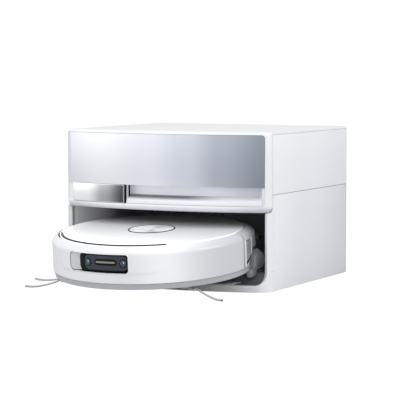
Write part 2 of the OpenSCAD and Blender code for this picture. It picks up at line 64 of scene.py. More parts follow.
# ---------------------------------------------------------------- frame measures, in millimetres
joints = {j["name"]: j for j in frame["joints"]}
axis_y = Vector(joints["bumper_press"]["axis"])
tilt = math.atan2(axis_y.z, axis_y.y)
swivel = Vector(joints["caster_swivel"]["pos_m"])
turn = Matrix.Rotation(tilt, 4, "X")
CASTER = Vector((0, -0.122, 0.0145))  # the swivel's place in the robot's own frame, in metres
robot_origin = swivel - turn @ CASTER
ON_RAMP = Matrix.Translation(robot_origin) @ turn

HALF_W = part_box("top_cover")[1].x * 1000
BACK_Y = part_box("top_cover")[1].y * 1000
FRONT_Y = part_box("drawer_front")[0].y * 1000
TOP_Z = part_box("top_cover")[1].z * 1000
FRONT_R, CORNER_R, REAR_R = 665.0, 28.0, 24.0
ARC_Y = FRONT_Y + FRONT_R
CORNER_X = HALF_W - CORNER_R
CORNER_Y = ARC_Y - math.sqrt((FRONT_R - CORNER_R) ** 2 - CORNER_X ** 2)
END_ANGLE = math.asin(CORNER_X / (FRONT_R - CORNER_R))
REAR_X, REAR_Y = HALF_W - REAR_R, BACK_Y - REAR_R
S1 = FRONT_R * END_ANGLE
S2 = S1 + CORNER_R * (math.pi / 2 - END_ANGLE)
S3 = S2 + REAR_Y - CORNER_Y
S4 = S3 + REAR_R * math.pi / 2
S5 = S4 + REAR_X
BLOCK_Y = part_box("drawer_front")[1].y * 1000
BLOCK_S = S1 + CORNER_R * (math.acos((CORNER_Y - BLOCK_Y) / CORNER_R) - END_ANGLE)
POST_S = S2 + 3.9
SEAM_Z, CEILING_Z, LIP_Z, FLOOR_Z = 169.0, 138.5, 12.0, 27.0
RAMP_Y, RAMP_RUN = -146.0, 24.0
MOUTH_X, MOUTH_R = 199.5, 24  # half width and low corners of the mouth
GARAGE_X, GARAGE_R = 198.4, 23  # the same of the garage behind it
SIDE_WALL = 5.5  # thinner than the 8 of the CAD, since the photo's mouth is wider
ROBOT_R = 175.0
SIDES = ((1, "right"), (-1, "left"))


def outline(s, t=0.0):
    """Point of the station's plan outline at run s from the front's middle, set in by t."""
    a, side = abs(s), (1 if s >= 0 else -1)
    if a <= S1:
        g = a / FRONT_R
        x, y = (FRONT_R - t) * math.sin(g), ARC_Y - (FRONT_R - t) * math.cos(g)
    elif a <= S2:
        g = END_ANGLE + (a - S1) / CORNER_R
        x, y = CORNER_X + (CORNER_R - t) * math.sin(g), CORNER_Y - (CORNER_R - t) * math.cos(g)
    elif a <= S3:
        x, y = HALF_W - t, CORNER_Y + a - S2
    elif a <= S4:
        g = (a - S3) / REAR_R
        x, y = REAR_X + (REAR_R - t) * math.cos(g), REAR_Y + (REAR_R - t) * math.sin(g)
    else:
        x, y = REAR_X - (a - S4), BACK_Y - t
    return x * side, y


def marks(a, b):
    """Runs from a to b, close together where the outline curves."""
    knots = [-S5, -S4, -S3, -S2, -S1, S1, S2, S3, S4, S5]
    steps = [40, 2, 40, 2, 5, 2, 40, 2, 40]
    out = [a]
    for k in range(len(steps)):
        lo, hi = max(a, knots[k]), min(b, knots[k + 1])
        if hi <= lo:
            continue
        n = max(1, math.ceil((hi - lo) / steps[k]))
        out += [lo + (hi - lo) * i / n for i in range(1, n + 1)]
    return out


def round_back(s):
    """Runs from s on the right round the back to the same place on the left."""
    right = marks(s, S5)
    return right + [-q for q in reversed(right[:-1])]


def mirrored(points, side):
    """Points (run, height) as drawn for the right, or turned over for the left where side is -1."""
    return [(s * side, z) for s, z in points][::side]


def dock_map(s, d, z):
    """Point of the station at run s, set in by d, at height z, in metres."""
    x, y = outline(s, d)
    return Vector((x, y, z)) * 0.001


def polar(angle, r, z):
    """Point of the robot, angle in degrees from its nose, in metres in the row frame."""
    g = math.radians(angle)
    return ON_RAMP @ (Vector((r * math.sin(g), -r * math.cos(g), z)) * 0.001)


def robot_map(s, d, z):
    """Point of the robot's wall at run s from the nose, set in by d."""
    return polar(math.degrees(s / ROBOT_R), ROBOT_R - d, z)


LID_CENTRE = ON_RAMP @ Vector((0, 0, 0.074))


def local(x, y, z):
    """Point in the robot's own frame, taken from millimetres to metres in the row frame."""
    return ON_RAMP @ (Vector((x, y, z)) * 0.001)


# ---------------------------------------------------------------- materials
def material(name, base, second, rough, metallic=0.0, scale=60.0, bump=0.0, coat=0.0, specular=0.5,
             glow=0.0):
    """A finish with a fine mottling between two near colours, and a little texture in the surface."""
    m = bpy.data.materials.new(name)
    m.use_nodes = True
    nodes, links = m.node_tree.nodes, m.node_tree.links
    shader = nodes["Principled BSDF"]
    shader.inputs["Base Color"].default_value = (*base, 1)
    shader.inputs["Roughness"].default_value = rough
    shader.inputs["Metallic"].default_value = metallic
    shader.inputs["Coat Weight"].default_value = coat
    shader.inputs["Coat Roughness"].default_value = 0.08
    shader.inputs["Specular IOR Level"].default_value = specular
    shader.inputs["Emission Strength"].default_value = glow
    place = nodes.new("ShaderNodeTexCoord")
    noise = nodes.new("ShaderNodeTexNoise")
    noise.inputs["Scale"].default_value = scale
    noise.inputs["Detail"].default_value = 4
    mix = nodes.new("ShaderNodeMix")
    mix.data_type = "RGBA"
    mix.inputs[6].default_value = (*base, 1)
    mix.inputs[7].default_value = (*second, 1)
    links.new(place.outputs["Object"], noise.inputs["Vector"])
    links.new(noise.outputs["Fac"], mix.inputs[0])
    links.new(mix.outputs[2], shader.inputs["Base Color"])
    if bump:
        fine = nodes.new("ShaderNodeTexNoise")
        fine.inputs["Scale"].default_value = scale * 30
        lift = nodes.new("ShaderNodeBump")
        lift.inputs["Strength"].default_value = bump
        lift.inputs["Distance"].default_value = 0.0002
        links.new(place.outputs["Object"], fine.inputs["Vector"])
        links.new(fine.outputs["Fac"], lift.inputs["Height"])
        links.new(lift.outputs["Normal"], shader.inputs["Normal"])
    return m


def gradient(m, axis, stops):
    """Multiplies a finish by grey or coloured stops along one row axis, positions in metres."""
    nodes, links = m.node_tree.nodes, m.node_tree.links
    shader = nodes["Principled BSDF"]
    place = nodes.new("ShaderNodeTexCoord")
    split = nodes.new("ShaderNodeSeparateXYZ")
    span = nodes.new("ShaderNodeMapRange")
    ramp = nodes.new("ShaderNodeValToRGB")
    lo, hi = stops[0][0], stops[-1][0]
    span.inputs["From Min"].default_value = lo
    span.inputs["From Max"].default_value = hi
    links.new(place.outputs["Object"], split.inputs[0])
    links.new(split.outputs[axis], span.inputs["Value"])
    links.new(span.outputs["Result"], ramp.inputs["Fac"])
    ramp.color_ramp.interpolation = "EASE"
    while len(ramp.color_ramp.elements) < len(stops):
        ramp.color_ramp.elements.new(0.5)
    for element, (where, colour) in zip(ramp.color_ramp.elements, stops):
        element.position = (where - lo) / (hi - lo)
        element.color = (*colour, 1)
    old = shader.inputs["Base Color"].links[0].from_socket
    mix = nodes.new("ShaderNodeMix")
    mix.data_type = "RGBA"
    mix.blend_type = "MULTIPLY"
    mix.inputs[0].default_value = 1.0
    links.new(old, mix.inputs[6])
    links.new(ramp.outputs["Color"], mix.inputs[7])
    links.new(mix.outputs[2], shader.inputs["Base Color"])


def painted_light_along(m, y_lit, y_dark, level, above=None):
    """Painted light: a faint glow, strongest at y_lit and gone at y_dark, and only above a height where one is
    given.
    """
    nodes, links = m.node_tree.nodes, m.node_tree.links
    shader = nodes["Principled BSDF"]
    shader.inputs["Emission Strength"].default_value = 1.0
    place = nodes.new("ShaderNodeTexCoord")
    split = nodes.new("ShaderNodeSeparateXYZ")
    fade = nodes.new("ShaderNodeMapRange")
    for key, value in (("From Min", y_lit), ("From Max", y_dark), ("To Min", level), ("To Max", 0.0)):
        fade.inputs[key].default_value = value
    links.new(place.outputs["Object"], split.inputs[0])
    links.new(split.outputs["Y"], fade.inputs["Value"])
    result = fade.outputs["Result"]
    if above:
        rise, both = nodes.new("ShaderNodeMapRange"), nodes.new("ShaderNodeMath")
        rise.inputs["From Min"].default_value, rise.inputs["From Max"].default_value = above
        both.operation = "MULTIPLY"
        links.new(split.outputs["Z"], rise.inputs["Value"])
        links.new(result, both.inputs[0])
        links.new(rise.outputs["Result"], both.inputs[1])
        result = both.outputs[0]
    links.new(result, shader.inputs["Emission Color"])


def crease_shade(m):
    """Darkens the rolled lip of the finger recess up towards its crease, most of all on the left."""
    nodes, links = m.node_tree.nodes, m.node_tree.links
    place, split = nodes.new("ShaderNodeTexCoord"), nodes.new("ShaderNodeSeparateXYZ")
    links.new(place.outputs["Object"], split.inputs[0])
    ranges = []
    for axis, lo, hi in (("X", 0.135, 0.04), ("Z", 0.1560, 0.1632)):
        span = nodes.new("ShaderNodeMapRange")
        span.interpolation_type = "SMOOTHSTEP"
        span.inputs["From Min"].default_value, span.inputs["From Max"].default_value = lo, hi
        links.new(split.outputs[axis], span.inputs["Value"])
        ranges.append(span)
    both, shade = nodes.new("ShaderNodeMath"), nodes.new("ShaderNodeMix")
    both.operation, shade.data_type = "MULTIPLY", "RGBA"
    links.new(ranges[0].outputs["Result"], both.inputs[0])
    links.new(ranges[1].outputs["Result"], both.inputs[1])
    links.new(both.outputs[0], shade.inputs[0])
    links.new(nodes["Principled BSDF"].inputs["Base Color"].links[0].from_socket, shade.inputs[6])
    shade.inputs[7].default_value = (0.09, 0.095, 0.11, 1)
    links.new(shade.outputs[2], nodes["Principled BSDF"].inputs["Base Color"])


def painted_sheen_rays(m):
    """Painted sheen: bright and dull rays round the lid's centre, the highlights of a disc with circular brush
    marks.
    """
    nodes, links = m.node_tree.nodes, m.node_tree.links
    fan = nodes.new("ShaderNodeTexGradient")
    fan.gradient_type = "RADIAL"
    centre = nodes.new("ShaderNodeMapping")
    centre.inputs["Location"].default_value = -LID_CENTRE
    spokes = nodes.new("ShaderNodeValToRGB")
    spokes.color_ramp.interpolation = "EASE"
    while len(spokes.color_ramp.elements) < 9:
        spokes.color_ramp.elements.new(0.5)
    for element, (where, grey) in zip(spokes.color_ramp.elements, (
            (0.0, 0.95), (0.10, 0.80), (0.20, 0.98), (0.33, 0.55), (0.45, 0.98),
            (0.58, 0.82), (0.72, 0.6), (0.84, 0.98), (1.0, 0.95))):
        element.position = where
        element.color = (grey, grey, grey * 1.01, 1)
    place = nodes.new("ShaderNodeTexCoord")
    links.new(place.outputs["Object"], centre.inputs["Vector"])
    links.new(centre.outputs["Vector"], fan.inputs["Vector"])
    links.new(fan.outputs["Fac"], spokes.inputs["Fac"])
    links.new(spokes.outputs["Color"], nodes["Principled BSDF"].inputs["Base Color"])


white = material("white_shell", (0.79, 0.80, 0.82), (0.77, 0.78, 0.805), 0.32, coat=0.25, bump=0.03)
# front block: painted shade on the rounding under its lower edge, darker towards the bottom
block_white = material("block_white", (0.79, 0.80, 0.82), (0.77, 0.78, 0.805), 0.32, coat=0.25, bump=0.03)
gradient(block_white, 2, [(0.1385, (0.42, 0.425, 0.44)), (0.142, (0.72, 0.725, 0.74)), (0.148, (1, 1, 1))])
# robot shells: painted light and shade across the robot, brightest just right of the middle, darker at both sides
# and most at the right
robot_white = material("robot_white", (0.93, 0.935, 0.95), (0.91, 0.92, 0.94), 0.28, coat=0.5, bump=0.02)
gradient(robot_white, 0, [(-0.18, (0.80, 0.80, 0.805)), (0.03, (0.82, 0.822, 0.83)),
                          (0.10, (0.96, 0.965, 0.98)), (0.175, (0.62, 0.63, 0.65))])
gloss_white = material("gloss_white", (0.88, 0.885, 0.9), (0.86, 0.87, 0.89), 0.16, coat=0.6)
# copies of the dock's white plastic set by face, top_white darker, side_white and lower_white lighter at the front
# and darker towards the back: painted light and shade
top_white = material("top_white", (0.72, 0.735, 0.76), (0.70, 0.715, 0.74), 0.34, coat=0.2, bump=0.03)
side_white = material("side_white", (0.86, 0.87, 0.89), (0.84, 0.85, 0.875), 0.32, coat=0.2, bump=0.03)
gradient(side_white, 1, [(-0.16, (0.98, 0.98, 0.985)),
                         (0.0, (0.93, 0.935, 0.95)), (0.2, (0.84, 0.85, 0.875))])
lower_white = material("lower_white", (0.84, 0.85, 0.875), (0.82, 0.83, 0.86), 0.32, coat=0.2, bump=0.03)
gradient(lower_white, 1, [(-0.16, (0.96, 0.96, 0.97)),
                          (0.0, (0.86, 0.865, 0.885)), (0.2, (0.72, 0.73, 0.76))])
grey_trim = material("grey_trim", (0.47, 0.48, 0.505), (0.44, 0.45, 0.475), 0.38, bump=0.05)
cap_grey = material("cap_grey", (0.60, 0.605, 0.63), (0.56, 0.565, 0.59), 0.4, bump=0.05)
light_grey = material("light_grey", (0.62, 0.63, 0.66), (0.59, 0.60, 0.63), 0.35, bump=0.04)
dark = material("dark_parts", (0.022, 0.024, 0.028), (0.03, 0.032, 0.037), 0.5, bump=0.1)
black_gloss = material("black_gloss", (0.004, 0.005, 0.007), (0.006, 0.007, 0.009), 0.25, specular=0.12)
slate = material("slate", (0.022, 0.025, 0.040), (0.028, 0.031, 0.048), 0.30, metallic=0.2, coat=0.3)
silver = material("silver_wall", (0.69, 0.70, 0.73), (0.65, 0.66, 0.69), 0.22, metallic=0.5, coat=0.3)
seam_dark = material("seam_dark", (0.10, 0.105, 0.12), (0.12, 0.125, 0.14), 0.6)
# front panel: painted reflection and shade across its width, brightest left of the middle and darkening to the
# right
panel = material("satin_panel", (0.88, 0.885, 0.91), (0.86, 0.865, 0.89), 0.42, metallic=0.7, bump=0.05)
gradient(panel, 0, [(-0.20, (0.88, 0.885, 0.92)), (-0.12, (0.98, 0.98, 0.99)), (-0.02, (0.86, 0.88, 0.92)),
                    (0.06, (0.68, 0.71, 0.77)), (0.12, (0.47, 0.50, 0.56)), (0.20, (0.31, 0.34, 0.385))])
# key: painted reflection, white at its left end and falling to near black at its right
chrome = material("chrome_key", (0.98, 0.98, 0.985), (0.96, 0.96, 0.965), 0.28, metallic=0.75)
gradient(chrome, 0, [(-0.185, (1, 1, 1)), (-0.15, (0.94, 0.95, 0.96)), (-0.11, (0.42, 0.43, 0.45)),
                     (-0.066, (0.07, 0.075, 0.085))])
vent_grey = material("vent_grey", (0.16, 0.165, 0.18), (0.13, 0.135, 0.15), 0.5)
# key rim: painted shade, dark at its left end and greyer towards its right end
key_edge = material("key_edge", (0.93, 0.93, 0.94), (0.90, 0.90, 0.91), 0.2, metallic=0.9)
gradient(key_edge, 0, [(-0.185, (0.25, 0.25, 0.28)), (-0.182, (1, 1, 1)), (-0.12, (1, 1, 1)),
                       (-0.066, (0.55, 0.56, 0.58))])
# back wall of the finger recess: painted shade, darker towards the right
recess_back = material("recess_back", (0.93, 0.94, 0.98), (0.91, 0.92, 0.965), 0.3, coat=0.2)
gradient(recess_back, 0, [(-0.06, (1, 1, 1)), (0.08, (0.92, 0.93, 0.94)), (0.18, (0.74, 0.75, 0.77))])
lip_white = material("lip_white", (0.68, 0.69, 0.73), (0.66, 0.67, 0.715), 0.25, coat=0.3)
crease_shade(lip_white)
steel = material("bare_steel", (0.55, 0.56, 0.58), (0.50, 0.51, 0.53), 0.3, metallic=1.0, bump=0.1)
# garage walls: painted shade, darker deeper in and lower down, and a faint glow near the mouth, higher up the
# walls, that is painted light
tunnel_shade_and_glow = material("tunnel_shade_and_glow", (0.80, 0.81, 0.83), (0.78, 0.79, 0.81), 0.4, bump=0.04)
gradient(tunnel_shade_and_glow, 1, [(-0.20, (1, 1, 1)), (-0.165, (1, 1, 1)), (-0.12, (0.85, 0.86, 0.88)),
                           (-0.06, (0.8, 0.805, 0.82)), (0.17, (0.62, 0.625, 0.64))])
gradient(tunnel_shade_and_glow, 2, [(0.012, (0.32, 0.325, 0.34)), (0.055, (1, 1, 1))])
painted_light_along(tunnel_shade_and_glow, -0.19, 0.02, 0.20, above=(0.045, 0.09))
liner_grey = material("liner_grey", (0.40, 0.41, 0.44), (0.36, 0.37, 0.40), 0.5, bump=0.1)
lens_glass = material("lens_glass", (0.008, 0.02, 0.035), (0.01, 0.03, 0.05), 0.04, coat=1.0)
glint = material("lens_glint", (0.10, 0.42, 0.60), (0.06, 0.30, 0.50), 0.2, glow=0.6)
glint.node_tree.nodes["Principled BSDF"].inputs["Emission Color"].default_value = (0.15, 0.6, 0.9, 1)
lamp = material("lamp", (0.26, 0.255, 0.20), (0.17, 0.165, 0.13), 0.3, scale=400, glow=0.03)
lamp.node_tree.nodes["Principled BSDF"].inputs["Emission Color"].default_value = (0.9, 0.85, 0.65, 1)
rubber = material("rubber_tread", (0.03, 0.03, 0.032), (0.045, 0.045, 0.048), 0.75, bump=0.4)
clear_tank = material("clear_tank", (0.55, 0.66, 0.76), (0.52, 0.63, 0.73), 0.12, coat=0.5)
smoke_tank = material("smoke_tank", (0.10, 0.105, 0.12), (0.12, 0.125, 0.14), 0.15, coat=0.5)
paper = material("bag_paper", (0.70, 0.67, 0.60), (0.62, 0.59, 0.52), 0.85, scale=200, bump=0.5)
felt = material("filter_felt", (0.80, 0.80, 0.78), (0.74, 0.74, 0.72), 0.9, scale=300, bump=0.6)
board = material("board", (0.02, 0.12, 0.05), (0.03, 0.16, 0.07), 0.4, scale=300)
wrap = material("battery_wrap", (0.05, 0.12, 0.28), (0.06, 0.14, 0.31), 0.35)
bristle = material("bristle", (0.50, 0.51, 0.53), (0.38, 0.39, 0.41), 0.6, scale=900, bump=0.3)
fleece = material("mop_fleece", (0.60, 0.62, 0.66), (0.50, 0.52, 0.56), 0.95, scale=500, bump=1.0)
# lid: painted shade, a little darker towards the back, and a faint glow over its front half that is painted light
lid_white = material("lid_white", (0.94, 0.945, 0.955), (0.925, 0.93, 0.945), 0.2, coat=0.5)
gradient(lid_white, 1, [(-0.40, (1, 1, 1)), (-0.05, (0.96, 0.96, 0.97))])
painted_light_along(lid_white, -0.33, -0.13, 0.40)
lens_ring = material("lens_ring", (0.06, 0.07, 0.10), (0.08, 0.09, 0.12), 0.3, coat=0.4)
# grey for the strips in the post's seam and groove: painted shade
gap_shade_grey = material("gap_shade_grey", (0.45, 0.46, 0.48), (0.42, 0.43, 0.45), 0.6)
# button plate: a faint white glow that is painted light, and rays of painted sheen
button_sheen = material("button_white_painted_sheen", (0.97, 0.97, 0.98), (0.94, 0.94, 0.95), 0.3, coat=0.2, glow=0.16)
button_sheen.node_tree.nodes["Principled BSDF"].inputs["Emission Color"].default_value = (1, 1, 1, 1)
painted_sheen_rays(button_sheen)

FINISH = {"white_shell": white, "grey_trim": light_grey, "dark_parts": dark, "satin_panel": panel,
          "chrome_key": chrome, "bare_steel": steel, "camera_glass": lens_glass, "lamp": lamp,
          "rubber_tread": rubber, "clear_tank": clear_tank, "smoke_tank": smoke_tank, "bag_paper": paper,
          "filter_felt": felt, "board": board, "battery_wrap": wrap, "bristle": bristle,
          "mop_fleece": fleece}
for part in frame["record"]["subparts"]:
    mesh = frame["nodes"][part["node"]].data
    mesh.materials.clear()
    mesh.materials.append(liner_grey if part["node"] == "garage_liner" else FINISH[part["material_slot"]])
# pieces that keep their CAD mesh get eased edges
for name in ("drive_wheel_left", "drive_wheel_right", "wheel_arm_left", "wheel_arm_right", "chassis",
             "drawer_tray", "garage_liner", "dust_fan", "water_pump", "suction_fan", "power_inlet",
             "caster_fork", "caster_wheel", "tank_caps", "tank_handles", "clean_tank", "dirty_tank"):
    node = frame["nodes"][name]
    join = node.modifiers.new("join", "WELD")
    join.merge_threshold = 0.00002
    ease = node.modifiers.new("ease", "BEVEL")
    ease.width = 0.0006
    ease.segments = 2
    ease.limit_method = "ANGLE"
    ease.angle_limit = math.radians(50)


# ---------------------------------------------------------------- mesh helpers
def shape(name, mesh, finish, body, nodes=(), sharp=38):
    """Adds a mesh as a piece with its finish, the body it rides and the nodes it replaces."""
    ob = bpy.data.objects.new(name, mesh)
    bpy.context.collection.objects.link(ob)
    mesh.materials.clear()
    mesh.materials.append(finish)
    mesh.polygons.foreach_set("use_smooth", [True] * len(mesh.polygons))
    mesh.set_sharp_from_angle(angle=math.radians(sharp))
    if body:
        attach(ob, body)
    if nodes:
        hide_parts(*nodes)
    return ob


def from_rings(name, rings, closed=True, caps=(True, True), wrap_rings=False):
    """Mesh through rings of points, joined in order."""
    n = len(rings[0])
    verts = [p for r in rings for p in r]
    faces = []
    spans = len(rings) if wrap_rings else len(rings) - 1
    for k in range(spans):
        a, b = k * n, ((k + 1) % len(rings)) * n
        for i in range(n if closed else n - 1):
            j = (i + 1) % n
            faces.append((a + i, a + j, b + j, b + i))
    if caps[0]:
        faces.append(tuple(reversed(range(n))))
    if caps[1]:
        faces.append(tuple(range((len(rings) - 1) * n, len(rings) * n)))
    mesh = bpy.data.meshes.new(name)
    mesh.from_pydata([tuple(v) for v in verts], [], faces)
    bm = bmesh.new()
    bm.from_mesh(mesh)
    bmesh.ops.remove_doubles(bm, verts=bm.verts, dist=1e-6)
    bmesh.ops.recalc_face_normals(bm, faces=bm.faces)
    bm.to_mesh(mesh)
    bm.free()
    return mesh


def rounded(a0, z0, a1, z1, radii):
    """Outline of a rectangle with its own radius at each corner, from the low left one, in order."""
    r = radii if isinstance(radii, (list, tuple)) else [radii] * 4
    out = []
    corners = [(a0 + r[0], z0 + r[0], 180, r[0]), (a1 - r[1], z0 + r[1], 270, r[1]),
               (a1 - r[2], z1 - r[2], 0, r[2]), (a0 + r[3], z1 - r[3], 90, r[3])]
    for x, z, start, rad in corners:
        if rad < 0.05:
            out.append((x, z))
            continue
        for i in range(9):
            g = math.radians(start + i * 90 / 8)
            out.append((x + rad * math.cos(g), z + rad * math.sin(g)))
    return out


def bent_plate(name, points, d0, d1, where, cuts, ease=0.5, segments=3, keep=None):
    """A plate drawn flat as (run, height), thick from depth d0 to d1, bent on to a curved wall."""
    bm = bmesh.new()
    bm.faces.new([bm.verts.new((p[0], d0, p[1])) for p in points])
    lo, hi = min(p[0] for p in points), max(p[0] for p in points)
    for c in cuts:
        if lo + 0.3 < c < hi - 0.3:
            bmesh.ops.bisect_plane(bm, geom=bm.verts[:] + bm.edges[:] + bm.faces[:], dist=1e-4,
                                   plane_co=(c, 0, 0), plane_no=(1, 0, 0))
    front = bm.faces[:]
    made = bmesh.ops.extrude_face_region(bm, geom=front, use_keep_orig=True)
    for v in [g for g in made["geom"] if isinstance(g, bmesh.types.BMVert)]:
        v.co.y = d1
    bmesh.ops.recalc_face_normals(bm, faces=bm.faces)
    if ease:
        rims = [e for e in bm.edges if len(e.link_faces) == 2 and e.calc_face_angle(0) > 0.9
                and all(abs(v.co.y - d0) < 1e-5 for v in e.verts)
                and (keep is None or keep((e.verts[0].co + e.verts[1].co) / 2))]
        bmesh.ops.bevel(bm, geom=rims, offset=ease, segments=segments, profile=0.5, affect="EDGES",
                        clamp_overlap=True)
    for v in bm.verts:
        v.co = where(v.co.x, v.co.y, v.co.z)
    bmesh.ops.recalc_face_normals(bm, faces=bm.faces)
    mesh = bpy.data.meshes.new(name)
    bm.to_mesh(mesh)
    bm.free()
    return mesh


def carve(mesh, cutters, name):
    """The mesh with the cutters' space taken out."""
    base = bpy.data.objects.new(name, mesh)
    bpy.context.collection.objects.link(base)
    tools = []
    for c in cutters:
        tool = bpy.data.objects.new("tool", c)
        bpy.context.collection.objects.link(tool)
        cut = base.modifiers.new("cut", "BOOLEAN")
        cut.operation, cut.object, cut.solver = "DIFFERENCE", tool, "EXACT"
        tools.append(tool)
    view = bpy.context.evaluated_depsgraph_get()
    view.update()
    out = bpy.data.meshes.new_from_object(base.evaluated_get(view))
    for ob in tools + [base]:
        bpy.data.objects.remove(ob, do_unlink=True)
    return out


def brick(name, lo, hi, ease=1.0, place=None):
    """A box with eased edges between two corners in millimetres."""
    bm = bmesh.new()
    bmesh.ops.create_cube(bm, size=1.0)
    for v in bm.verts:
        v.co = Vector([lo[k] + (v.co[k] + 0.5) * (hi[k] - lo[k]) for k in range(3)])
    if ease:
        bmesh.ops.bevel(bm, geom=bm.edges[:], offset=ease, segments=2, profile=0.5, affect="EDGES")
    for v in bm.verts:
        v.co = (place or Matrix.Identity(4)) @ (v.co * 0.001)
    mesh = bpy.data.meshes.new(name)
    bm.to_mesh(mesh)
    bm.free()
    return mesh


def turned(name, profile, a0=0.0, a1=360.0, step=2.0, centre=(0, 0)):
    """A closed profile of (radius, height) swept about the robot's own upright, angles from the nose."""
    full = a1 - a0 >= 359.9
    n = max(3, math.ceil((a1 - a0) / step))
    rings = []
    for i in range(n if full else n + 1):
        a = a0 + (a1 - a0) * i / n
        g = math.radians(a)
        ring = []
        for r, z in (profile(a) if callable(profile) else profile):
            p = Vector((centre[0] + r * math.sin(g), centre[1] - r * math.cos(g), z)) * 0.001
            ring.append(ON_RAMP @ p)
        rings.append(ring)
    return from_rings(name, rings, caps=(not full,) * 2, wrap_rings=full)


def arc(cx, cz, r, a0, a1, n=6):
    return [(cx + r * math.cos(math.radians(a0 + (a1 - a0) * i / n)),
             cz + r * math.sin(math.radians(a0 + (a1 - a0) * i / n))) for i in range(n + 1)]


# ---------------------------------------------------------------- docking station
FRONT_CUTS = marks(-S3, S3)


def end_run(z, full, low_r, low_z):
    """Run of a piece's end, drawn in near its low corner by that corner's radius."""
    up = low_z + low_r - z
    return full - (low_r - math.sqrt(max(0.0, low_r ** 2 - up ** 2)) if up > 0 else 0.0)


# front block of the drawer: chamfered below, filleted above, with its seats cut in
levels = [(4.2, CEILING_Z + 0.3), (3.9, CEILING_Z), (3.3, CEILING_Z + 0.2), (0.7, 146.3), (0.15, 147.4),
          (0, 148.6), (0, 160), (0, 220), (0, TOP_Z - 5.5)]
levels += [(5.5 - 5.5 * math.cos(g), TOP_Z - 5.5 + 5.5 * math.sin(g))
           for g in [math.radians(a) for a in (15, 30, 45, 60, 75, 90)]]
rings = []
for t, z in levels:
    end = end_run(z, BLOCK_S - 0.2, 7.0, CEILING_Z)
    ring = []
    for s in marks(-BLOCK_S, BLOCK_S):
        x, y = outline(s * end / BLOCK_S, t)
        ring.append(Vector((x, min(y, BLOCK_Y), z)) * 0.001)
    rings.append(ring)
block = from_rings("block", rings)
zone = bent_plate("zone", rounded(-201.2, 149.2, 201.2, 273.6, [3, 3, 7, 7]), -3, 2.4, dock_map,
                  FRONT_CUTS, 0)
recess_cut = bent_plate("cut", rounded(-60.5, 149.6, 196.5, 182.4, 2), -3, 23, dock_map, FRONT_CUTS, 0)
key_cut = bent_plate("cut", rounded(-187.4, 148.6, -60.8, 182.6, 3), -3, 8.5, dock_map, FRONT_CUTS, 0)
block = carve(block, [zone, recess_cut, key_cut], "front_block")
shape("drawer_front_block", block, block_white, "drawer", ["drawer_front"], 30)

sheet = bent_plate("sheet", rounded(-200.7, 182.3, 200.7, 273.1, [0.6, 0.6, 6.6, 6.6]), 0.5, 2.6, dock_map,
                   FRONT_CUTS, 0.45)
shape("front_panel_sheet", sheet, panel, "drawer", ["front_panel"], 30)

key = bent_plate("key", rounded(-184.6, 150.4, -67.6, 180.6, 1.8), -0.3, 5.5, dock_map, FRONT_CUTS, 0.6)
shape("front_key_block", key, chrome, "front_key", ["front_key"], 60)
rim = rounded(-186.0, 149.2, -66.0, 181.8, 2.6)
shape("front_key_rim", bent_plate("rim", rim, 0.6, 6.0, dock_map, FRONT_CUTS, 0.5), key_edge, "front_key",
      sharp=40)
groove = bent_plate("groove", rounded(-187.4, 148.6, -57.5, 182.6, 1), 7.8, 8.8, dock_map, FRONT_CUTS, 0)
shape("front_key_groove", groove, black_gloss, "drawer")

# finger recess: back wall and a lip that rolls out to the front, closed by a rounded end
S_A, S_B, DEPTH = -60.4, 196.2, 20.0
runs = [S_A + (S_B - S_A) * i / 90 for i in range(84)]
runs += [runs[-1] + (S_B - runs[-1]) * (1 - (1 - i / 16) ** 1.8) for i in range(1, 17)]


def recess_depth(s):
    rest = (S_B - s) / 11.0
    return 2.2 + (DEPTH - 2.2) * (math.sqrt(max(0.0, 1 - (1 - rest) ** 2)) if rest < 1 else 1.0)


lip_rings, back_rings = [], []
for s in runs:
    d = recess_depth(s)
    lip_rings.append([dock_map(s, 0.7 + (d - 0.7) * (1 - math.sin(math.radians(a))) if a < 90 else 0.7,
                               149.8 + 15.4 * math.cos(math.radians(a))) for a in range(0, 91, 6)])
    back_rings.append([dock_map(s, 2.4, 182.2), dock_map(s, d - 0.4, 181.8), dock_map(s, d, 181.3),
                       dock_map(s, d, 172), dock_map(s, d, 166.0), dock_map(s, d - 0.2, 165.2)])
shape("finger_recess_lip", from_rings("lip", lip_rings, closed=False, caps=(False, False)), lip_white,
      "drawer", sharp=50)
shape("finger_recess_back", from_rings("back", back_rings, closed=False, caps=(False, False)), recess_back,
      "drawer", sharp=35)


def wall_loop(z0, z1, thick):
    """Section of a wall with eased outer edges, as (set-in, height) points."""
    r = 0.6
    return (arc(r, z0 + r, r, 270, 180, 3) + arc(r, z1 - r, r, 180, 90, 3)
            + [(thick, z1), (thick, z0)])


# upper housing as one wall from beside the block round the back to its other side
rings = []
for s in round_back(BLOCK_S + 0.5):
    rings.append([dock_map(s, t, z) for t, z in wall_loop(SEAM_Z + 0.4, TOP_Z - 4.6, 5.0)])
shape("upper_housing_wall", from_rings("upper", rings), side_white, "dock", ["upper_housing"],
      32)

# top cover with its fillet
top_levels = [(5.0, TOP_Z - 4.4), (0.5, TOP_Z - 4.4), (0.05, TOP_Z - 4.0)]
top_levels += [(4.0 - 4.0 * math.cos(g), TOP_Z - 4.0 + 4.0 * math.sin(g))
               for g in [math.radians(a) for a in (20, 40, 60, 75, 90)]]
rings = []
for t, z in top_levels:
    ring = []
    for s in round_back(BLOCK_S + 0.5):
        x, y = outline(s, t)
        ring.append(Vector((x, max(y, BLOCK_Y + 0.5), z)) * 0.001)
    rings.append(ring)
shape("top_cover_skin", from_rings("top", rings), top_white, "dock", ["top_cover"], 32)

